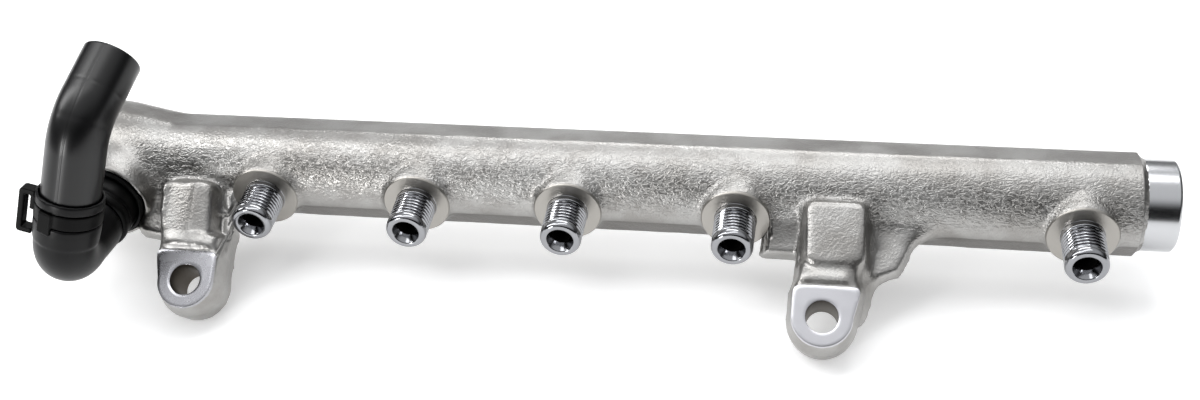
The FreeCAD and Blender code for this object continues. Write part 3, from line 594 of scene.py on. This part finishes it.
def screw(rows, steps, pitch, height, start, end, fade):
    """How far a thread's groove lies under its crest, on a grid of lengths and angles: a V of 60 degrees
    with a flat crest, one turn for each pitch, that fades out at both ends."""
    angle = np.linspace(0, 1, steps, endpoint=False)
    phase = np.mod(rows[:, None] / pitch - angle, 1)
    groove = np.clip((np.abs(phase * 2 - 1) - 0.26) / 0.60, 0, 1)
    window = ramp(rows, start, start + fade) * (1 - ramp(rows, end - fade, end))
    return height * groove * window[:, None]


def finish_of(name, code, metal, rough, grain=0.0, grain_size=0.4, **sockets):
    """A plain-coloured finish. Its grain is a fine even roughness, with a height and a lump size in mm."""
    material, tree = blank(name)
    inputs = {"Base Color": linear(code), "Metallic": metal, "Roughness": rough}
    inputs.update({socket.replace("_", " "): value for socket, value in sockets.items()})
    if grain > 0:
        place = put(tree, "TexCoord").outputs["Object"]
        fine = put(tree, "TexNoise", {"Vector": place, "Scale": 1 / (grain_size * mm), "Detail": 2.0})
        inputs["Normal"] = put(tree, "Bump", {"Height": fine, "Strength": 1.0, "Distance": grain * mm})
    close(tree, put(tree, "BsdfPrincipled", inputs))
    return material


# Threaded steel: cut bright, under a thin film of oil, so it takes the room's light darker.
threaded_steel = finish_of("threaded_steel", "909194", 1.0, 0.14)
# Spot-faced steel: dull and a little warm, from the cutter's end.
spot_steel = finish_of("spot_faced_steel", "a09d98", 1.0, 0.34, 0.010, 0.30)
# Bore: painted near black as painted shade for the deep hole, so it swallows the light.
bore_painted_shade = finish_of("painted_shade_bore", "0c0b0a", 0.0, 0.6, Specular_IOR_Level=0.1)


def outlet_profile():
    """Radius and length pairs from under the spot face, up the outside and down into the bore."""
    seat = [(11.35, 17.3), (11.65, 17.8), (11.62, 17.95), (11.2, 18.4), (10.0, 18.4), (8.6, 18.4),
            (7.5, 18.4), (7.15, 18.42), (7.02, 18.55), (7.0, 18.8), (7.0, 19.2), (7.0, 19.6), (6.98, 19.9)]
    thread = [(thread_radius, length) for length in np.linspace(thread_start, thread_end, 92)]
    turn = np.linspace(0, math.pi / 2, 9)
    tip = list(zip(5.75 + 1.23 * np.cos(turn), 32.0 + 1.75 * np.sin(turn)))
    mouth = [(5.3, outlet_tip - 0.02), (4.85, outlet_tip - 0.05), (4.6, 33.62), (4.5, 33.45),
             (3.8, 32.24), (3.08, 31.0), (3.0, 30.8), (3.0, 28.0), (3.0, 25.2), (2.0, 24.4), (0.6, 24.0)]
    return np.array(seat + thread + tip + mouth)


def threaded_end(station):
    """Points of one outlet: its profile turned about -Y, and its thread cut in towards the axis."""
    profile = outlet_profile()
    points = turned(profile, (station, 0, 0), (0, -1, 0), outlet_steps)
    depth = screw(profile[:, 1], outlet_steps, thread_pitch, thread_height, thread_start, thread_end,
                  thread_fade)
    outside = (profile[:, 0] > 6.9) & (profile[:, 1] >= thread_start) & (profile[:, 1] <= thread_end)
    spokes = points - np.array([station, 0, 0])
    spokes[..., 1] = 0
    spokes /= np.linalg.norm(spokes, axis=-1)[..., None]
    return points - spokes * (depth * outside[:, None])[..., None]


for number, station in enumerate(outlet_stations):
    points = threaded_end(station)
    finish = np.where(np.arange(len(points)) < spot_rows, 1, 0)
    # The bore's rows take the painted-shade black.
    finish[-bore_rows:] = 2
    name = "outlet_%d_end" % (number + 1)
    outlet = placed(name, surface(name, points, poles=True, row_finish=finish))
    dress(outlet, [threaded_steel, spot_steel, bore_painted_shade], "rail_body")

# The sensor port: the forging's end is turned to a bright collar with broken edges, bored, and threaded with
# M18 x 1.5 for the pressure sensor.
port_pitch, port_thread_height, port_thread_fade = 1.5, 0.8, 0.8
port_radius, port_thread_end, port_steps = 9.0, -14.8, 144
# Freshly turned steel: it mirrors the room in hard light and dark bands.
turned_steel = finish_of("turned_steel", "bbbcbe", 1.0, 0.20, 0.003, 0.25)


def port_profile():
    """Radius and length pairs along +X, from the collar's root over its outside and down the port."""
    outside = [(14.0, -11.9), (14.7, -11.8), (14.75, -11.2), (15.1, -10.9), (15.2, -10.7)]
    outside += [(15.2, length) for length in np.linspace(-10.2, -1.2, 10)]
    outside += [(15.2, -0.9), (15.15, -0.75), (14.4, -0.03), (14.2, 0.0)]
    face = [(radius, 0.0) for radius in (13.4, 12.4, 11.4, 10.4, 9.75)] + [(9.6, -0.06), (port_radius, -0.7)]
    thread = [(port_radius, length) for length in np.linspace(-0.8, port_thread_end, 113)]
    bottom = [(port_radius, -15.0), (8.6, -15.4), (4.7, -19.3), (4.5, -19.7), (4.5, -30.0), (4.5, -41.0),
              (1.0, -42.0)]
    return np.array(outside + face + thread + bottom)


def threaded_port():
    """Points of the collar and the hole, with the thread cut outwards into the hole's wall."""
    profile = port_profile()
    points = turned(profile, (0, 0, 0), (1, 0, 0), port_steps)
    depth = screw(profile[:, 1], port_steps, port_pitch, port_thread_height, port_thread_end, 0.2,
                  port_thread_fade)
    inside = (profile[:, 0] == port_radius) & (profile[:, 1] < -0.5) & (profile[:, 1] > port_thread_end - 0.1)
    scale = 1 - depth * inside[:, None] / port_radius
    points[..., 1:] *= scale[..., None]
    return points


port_mesh = surface("sensor_port_collar", threaded_port(), poles=True)
dress(placed("sensor_port_collar", port_mesh), [turned_steel], "rail_body")

# Two lug eyes: the forging's lugs are faced with a mill, which leaves a flat with a fine chamfer, and
# drilled through for the fixing bolts. Each eye leans a little to its own side. Each flat has its own
# roughness from the mill, and its own tone, which is painted light and shade: the first flat darker, the
# second lighter.
eye_radius, eye_flare, eye_top, hole_radius = 9.8, 1.2, 10.3, 5.2
face_y, back_y = -19.6, -3.8
eye_leans = (-1.08, 1.30)
# The two tones are painted light and shade on one milled steel; the two roughnesses are the mill's own.
eye_painted_light_tones, eye_roughness = ("a9a9ad", "c3c3c7"), (0.24, 0.32)
arc_pitch, wall_rows = 0.5, 4
# Drilled wall of the bolt holes: brownish, and dimmed with painted shade for the inside of the holes, with
# the drill's marks.
drilled_steel_painted_shade = finish_of("drilled_steel_painted_shade", "5e5850", 1.0, 0.40, 0.02, 0.5)


def eye_reach(angle, shift):
    """Distance from the hole's centre to the eye's edge: a round below, and above it two sides and a top.
    Their corners are round, since the inverse distances are raised to a high power, added and rooted."""
    across, up = np.cos(angle), np.sin(angle)
    right = eye_radius / np.maximum(across - (eye_flare + shift) / eye_top * up, 1e-6)
    left = eye_radius / np.maximum(-across - (eye_flare - shift) / eye_top * up, 1e-6)
    top = eye_top / np.maximum(up, 1e-6)
    power = 9.0
    square = (right ** -power + left ** -power + top ** -power) ** (-1 / power)
    return np.where(up > 0, np.minimum(square, 40), eye_radius)


def milled_steel(name, station, code, rough):
    """Milled flat, a cool lilac grey: faint arcs of the cutter, 0.5 mm apart, run round the bolt hole and
    come out in patches only."""
    # How many patches lie along a metre.
    patch_count = 260
    material, tree = blank("milled_steel_" + name)
    place = put(tree, "TexCoord").outputs["Object"]
    centre = tuple(leaned(np.array([[station, 0.0, -lug_drop]]))[0] * mm)
    bolt_way = tuple(leaned(np.array([[0.0, 1.0, 0.0]]))[0])
    arm = put(tree, "VectorMath", {0: place, 1: centre}, operation="SUBTRACT")
    across = put(tree, "VectorMath", {0: arm, 1: bolt_way}, operation="CROSS_PRODUCT")
    reach = put(tree, "VectorMath", {0: across}, operation="LENGTH").outputs["Value"]
    turns = put(tree, "Math", {0: reach, 1: 2 * math.pi / (arc_pitch * mm)}, operation="MULTIPLY")
    rings = put(tree, "Math", {0: turns}, operation="SINE")
    patches = put(tree, "TexNoise", {"Vector": place, "Scale": patch_count, "Detail": 3.0})
    deep = put(tree, "MapRange", {"Value": patches, "From Min": 0.45, "From Max": 0.70, "To Min": 0.05},
               interpolation_type="SMOOTHSTEP")
    height = put(tree, "Math", {0: rings, 1: deep}, operation="MULTIPLY")
    relief = put(tree, "Bump", {"Height": height, "Strength": 1.0, "Distance": 0.004 * mm})
    dull = put(tree, "MapRange", {"Value": patches, "From Min": 0.35, "From Max": 0.65, "To Min": rough,
                                  "To Max": rough + 0.05}, interpolation_type="SMOOTHSTEP")
    close(tree, put(tree, "BsdfPrincipled", {"Base Color": linear(code), "Metallic": 1.0, "Roughness": dull,
                                             "Normal": relief}))
    return material


def eye_points(station, lean):
    """Points of one eye, row by row: the hole's wall from the back to the front with its broken edges, the
    flat, the chamfer, and back inside the lug to the first row."""
    angle = np.linspace(0, 2 * math.pi, 180, endpoint=False)
    rim = eye_reach(angle, lean)
    hole = np.full_like(angle, hole_radius)
    rows = [(hole + 0.45, back_y), (hole, back_y - 0.45), (hole, -10.0), (hole, face_y + 0.4),
            (hole + 0.1, face_y + 0.12), (hole + 0.35, face_y)]
    rows += [(hole + 0.35 + (rim - 0.4 - hole - 0.35) * share, face_y) for share in (0.2, 0.4, 0.6, 0.8, 1.0)]
    rows += [(rim - 0.12, face_y + 0.12), (rim, face_y + 0.4), (rim + 0.35, face_y + 2.6),
             (rim - 1.5, face_y + 2.6), (hole + 0.9, face_y + 2.6), (hole + 0.9, back_y)]
    grid = [np.stack([station + reach * np.cos(angle), np.full_like(angle, depth),
                      reach * np.sin(angle) - lug_drop], axis=-1) for reach, depth in rows]
    return leaned(np.stack(grid))


for number, station in enumerate(lug_stations):
    name = "lug_%d_eye" % (number + 1)
    points = eye_points(station, eye_leans[number])
    finish = np.zeros(len(points), dtype=int)
    # The hole's wall takes the dim steel of painted shade.
    finish[:wall_rows] = 1
    milled = milled_steel(name, station, eye_painted_light_tones[number], eye_roughness[number])
    eye = placed(name, surface(name, points, closed_rows=True, sharp=30.0, row_finish=finish))
    dress(eye, [milled, drilled_steel_painted_shade], "rail_body")

# The return elbow, its locking collar and the clip are injection moulded in black glass-filled nylon, which
# leaves soft edges and a satin skin. The collar locks the elbow in the boss, and the clip snaps round its
# socket.


def moulded(name, node_name, voxel, rounds, finish):
    """A CAD node's closed mesh on an even grid, its edges and inner corners softened by some rounds."""
    piece = even_grid(name, closed_mesh(welded(nodes[node_name]), name), voxel)
    points = mesh_points(piece.data)
    set_points(piece.data, smoothed(piece.data, points, np.ones(len(points)), rounds))
    shade_smooth(piece.data)
    dress(piece, [finish], node_name)


# Black nylon with glass fibre: nearly no colour, and a satin skin that only the strip light brings out.
black = finish_of("black_nylon", "050506", 0.0, 0.36, 0.004, 0.3, Specular_IOR_Level=0.18)
# The clip's and the collar's nylon: duller and blacker than the elbow's.
clip_black = finish_of("clip_nylon", "030303", 0.0, 0.40, 0.004, 0.3, Specular_IOR_Level=0.10)
moulded("elbow_moulding", "return_elbow", 0.45, 3, black)
moulded("collar_moulding", "locking_collar", 0.35, 2, clip_black)
moulded("clip_moulding", "quick_clip", 0.28, 2, clip_black)

# The hose: extruded rubber, cured on a bent mandrel, which leaves one fine mould line, two cross marks and a
# satin skin. It is pushed into the elbow's socket, whose way it follows before its bend.
elbow_turn, corner_turn, hose_lean = (math.radians(angle) for angle in (16.0, 105.0, 4.0))
elbow_reach, corner_radius, socket_length = 48.5, 9.0, 16.5
hose_radius, hose_bore, bend_radius, bend_length = 9.6, 6.9, 18.3, 16.0
straight_start, straight_end, hose_foot = 16.5, 17.0, -1.55
mould_line_turn, mould_line_width, mould_line_depth = math.radians(178), 0.020, 0.10
mark_places, mark_width, mark_depth = (35.5, 25.5), 0.5, 0.05
elbow_up = np.array([math.sin(elbow_turn), 0, math.cos(elbow_turn)])
elbow_across = np.array([math.cos(elbow_turn), 0, -math.sin(elbow_turn)])
back_way = np.array([0.0, 1.0, 0.0])
socket_way = elbow_up * math.sin(corner_turn) - back_way * math.cos(corner_turn)
socket_side = back_way * math.sin(corner_turn) + elbow_up * math.cos(corner_turn)
corner_end = np.array([return_station, -elbow_reach, 0]) + (elbow_up - socket_side) * corner_radius
socket_mouth = corner_end + socket_way * socket_length
bend_side = socket_side * math.cos(hose_lean) + elbow_across * math.sin(hose_lean)


def hose_path(length):
    """Centre, and the two directions across, at each length from the socket's mouth: a straight line, an arc
    towards bend_side by the sine and cosine of its turn, and a straight line again."""
    turn = np.clip((length - straight_start) / bend_radius, 0, bend_length / bend_radius)[:, None]
    first = np.minimum(length, straight_start)[:, None]
    last = np.maximum(length - straight_start - bend_length, 0)[:, None]
    tangent = socket_way * np.cos(turn) + bend_side * np.sin(turn)
    inward = bend_side * np.cos(turn) - socket_way * np.sin(turn)
    arc = bend_radius * (socket_way * np.sin(turn) + bend_side * (1 - np.cos(turn)))
    return socket_mouth + socket_way * first + arc + tangent * last, inward, np.cross(socket_way, bend_side)


def hose_points():
    """Points of the hose, row by row: up its outside from the foot, over the rounded end, and back down its
    bore. The mould line and the cross marks are sunk in the outside."""
    end = straight_start + bend_length + straight_end
    outside = [(length, hose_radius) for length in np.linspace(hose_foot, end - 0.35, 110)]
    rim = [(end - 0.12, 9.5), (end, 9.25), (end, 7.15), (end - 0.12, 6.98)]
    inside = [(length, hose_bore) for length in np.linspace(end - 0.4, hose_foot, 50)]
    length, radius = np.array(outside + rim + inside).T
    angle = np.linspace(0, 2 * math.pi, 220, endpoint=False)
    centre, inward, sideways = hose_path(length)
    mould_line = np.exp(-((angle - mould_line_turn) / mould_line_width) ** 2) * (radius > 9.4)[:, None]
    marks = sum(mark_depth * np.exp(-((length - at) / mark_width) ** 2) for at in mark_places)
    marks = marks * (radius > 9.55)
    girth = (radius - marks)[:, None] - mould_line_depth * mould_line
    around = np.cos(angle)[:, None] * inward[:, None] + np.sin(angle)[:, None] * sideways
    return centre[:, None] + girth[..., None] * around


# Hose rubber: black with a soft sheen, so that the strip light draws one pale streak along it.
hose_rubber = finish_of("hose_rubber", "060607", 0.0, 0.30, 0.005, 0.5, Specular_IOR_Level=0.42)
hose = placed("hose_moulding", surface("hose_moulding", hose_points(), closed_rows=True))
dress(hose, [hose_rubber], "hose")

# The limiting valve's spring: cold-coiled spring wire, plain because it is never seen. It rests on the
# shim, and keeps its solid's length.
# Plain steel, as on every piece inside the head: an even grey that nobody sees.
steel = finish_of("forged_steel_plain", "b0afad", 1.0, 0.35)
spring_coil = placed("spring_coil", closed_mesh(welded(nodes["valve_spring"]), "spring_coil"))
dress(spring_coil, [steel], "valve_spring")
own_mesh(spring_coil)

# The other nodes keep their solids' meshes: three rubber seals, the nylon spigot that the hose is pushed on,
# and the valve's steel pieces. Only a seal's edge can be seen.
rubber = finish_of("seal_rubber", "050505", 0.0, 0.50, Specular_IOR_Level=0.15)
for name, node in nodes.items():
    chosen = rubber if name.endswith("_seal") else black if name == "hose_fitting" else steel
    for place in node.material_slots:
        place.material = chosen
